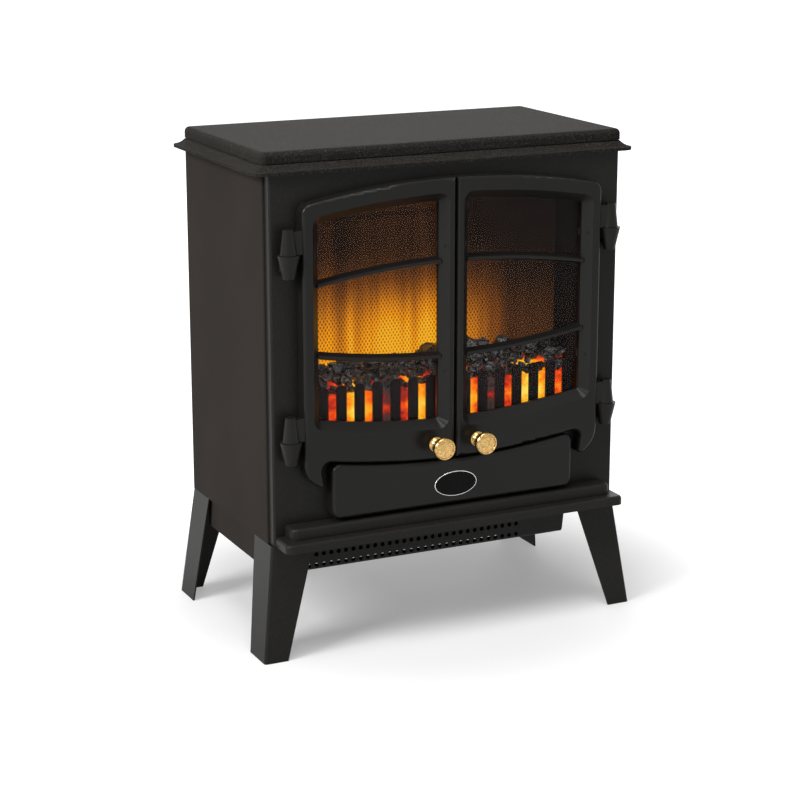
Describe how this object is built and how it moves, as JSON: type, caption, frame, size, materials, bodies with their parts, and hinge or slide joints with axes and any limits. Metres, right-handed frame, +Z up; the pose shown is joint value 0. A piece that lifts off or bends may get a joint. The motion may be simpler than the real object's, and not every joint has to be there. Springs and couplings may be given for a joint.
{
  "type": "electric fireplace stove",
  "caption": "Electric fireplace stove: sheet-steel box on splayed legs, arched glass doors before a lit coal bed and flame screen, drop-down control flap, fan heater in the base.",
  "frame": {"origin": "on the floor, under the middle of the part", "axes": "-Y out of the front with the doors, +X to the right as seen from the front, +Z up"},
  "size_m": [0.498, 0.318, 0.6],
  "materials": {
    "top_coat": "fine-textured dark coat",
    "casing": "satin dark grey coat",
    "fascia": "satin near-black coat",
    "door_coat": "satin near-black coat on castings",
    "fret_coat": "matt black coat",
    "zinc": "zinc-plated sheet",
    "liner": "matt black coat",
    "reflector": "bright rolled",
    "glass": "clear toughened",
    "brass": "polished",
    "screw": "blackened",
    "fuel": "moulded fuel bed, lit from below",
    "screen": "patterned flame screen",
    "lamp_glass": "frosted bulb",
    "holder": "heat-proof plastic",
    "black_plastic": "moulded",
    "red_plastic": "moulded rocker",
    "motor": "pressed can",
    "fins": "heater fins",
    "white_plastic": "moulded block"
  },
  "bodies": {
    "casing": {"top_plate": "top_coat", "side_panel_left": "casing", "side_panel_right": "casing", "back_panel": "casing", "back_screws": "screw", "front_fascia": "fascia", "hinge_pins": "zinc", "door_catch": "black_plastic", "plinth": "fascia", "leg_front_left": "fascia", "leg_front_right": "fascia", "leg_rear_left": "fascia", "leg_rear_right": "fascia", "leg_screws": "screw", "base_pan": "casing", "outlet_grille": "fascia", "control_panel": "liner", "switch_bodies": "black_plastic", "thermostat_body": "white_plastic", "firebox_liner": "liner", "flame_screen": "screen", "flame_reflector": "reflector", "fret": "fret_coat", "fuel_bed": "fuel", "lampholders": "holder", "lamps": "lamp_glass", "flicker_motor": "motor", "spindle_bush": "white_plastic", "fan_housing": "zinc", "fan_bush": "black_plastic", "fan_motor": "motor", "heating_element": "fins", "thermal_cutout": "motor", "inlet_bush": "black_plastic", "terminal_block": "white_plastic"},
    "left_door": {"door_frame_left": "door_coat", "door_glass_left": "glass", "glass_clips_left": "zinc", "door_strike_left": "zinc", "door_knob_left": "brass", "knob_screw_left": "zinc"},
    "right_door": {"door_frame_right": "door_coat", "door_glass_right": "glass", "glass_clips_right": "zinc", "door_strike_right": "zinc", "door_knob_right": "brass", "knob_screw_right": "zinc"},
    "flap": {"ash_flap": "door_coat", "flap_pins": "zinc"},
    "flame_rocker": {"rocker_flame": "red_plastic"},
    "low_heat_rocker": {"rocker_low_heat": "black_plastic"},
    "high_heat_rocker": {"rocker_high_heat": "black_plastic"},
    "thermostat": {"thermostat_knob": "black_plastic"},
    "flame_spindle": {"flicker_spindle": "reflector"},
    "fan": {"fan_impeller": "fins"}
  },
  "joints": [
    {"name": "left_door_hinge", "type": "hinge", "parent": "casing", "child": "left_door", "pos_m": [-0.21, -0.124, 0.485], "axis": [0, 0, -1], "range_deg": [0, 110]},
    {"name": "right_door_hinge", "type": "hinge", "parent": "casing", "child": "right_door", "pos_m": [0.21, -0.124, 0.485], "axis": [0, 0, 1], "range_deg": [0, 110]},
    {"name": "flap_hinge", "type": "hinge", "parent": "casing", "child": "flap", "pos_m": [0, -0.1218, 0.1753], "axis": [1, 0, 0], "range_deg": [0, 88]},
    {"name": "flame_switch", "type": "hinge", "parent": "casing", "child": "flame_rocker", "pos_m": [-0.09, -0.086, 0.195], "axis": [1, 0, 0], "range_deg": [-7, 7]},
    {"name": "low_heat_switch", "type": "hinge", "parent": "casing", "child": "low_heat_rocker", "pos_m": [-0.05, -0.086, 0.195], "axis": [1, 0, 0], "range_deg": [-7, 7]},
    {"name": "high_heat_switch", "type": "hinge", "parent": "casing", "child": "high_heat_rocker", "pos_m": [-0.01, -0.086, 0.195], "axis": [1, 0, 0], "range_deg": [-7, 7]},
    {"name": "thermostat_turn", "type": "hinge", "parent": "casing", "child": "thermostat", "pos_m": [0.08, -0.088, 0.195], "axis": [0, 1, 0], "range_deg": [0, 270]},
    {"name": "spindle_spin", "type": "hinge", "parent": "casing", "child": "flame_spindle", "pos_m": [0, -0.004, 0.275], "axis": [1, 0, 0], "continuous": true},
    {"name": "fan_spin", "type": "hinge", "parent": "casing", "child": "fan", "pos_m": [-0.044, 0.016, 0.185], "axis": [1, 0, 0], "continuous": true}
  ]
}
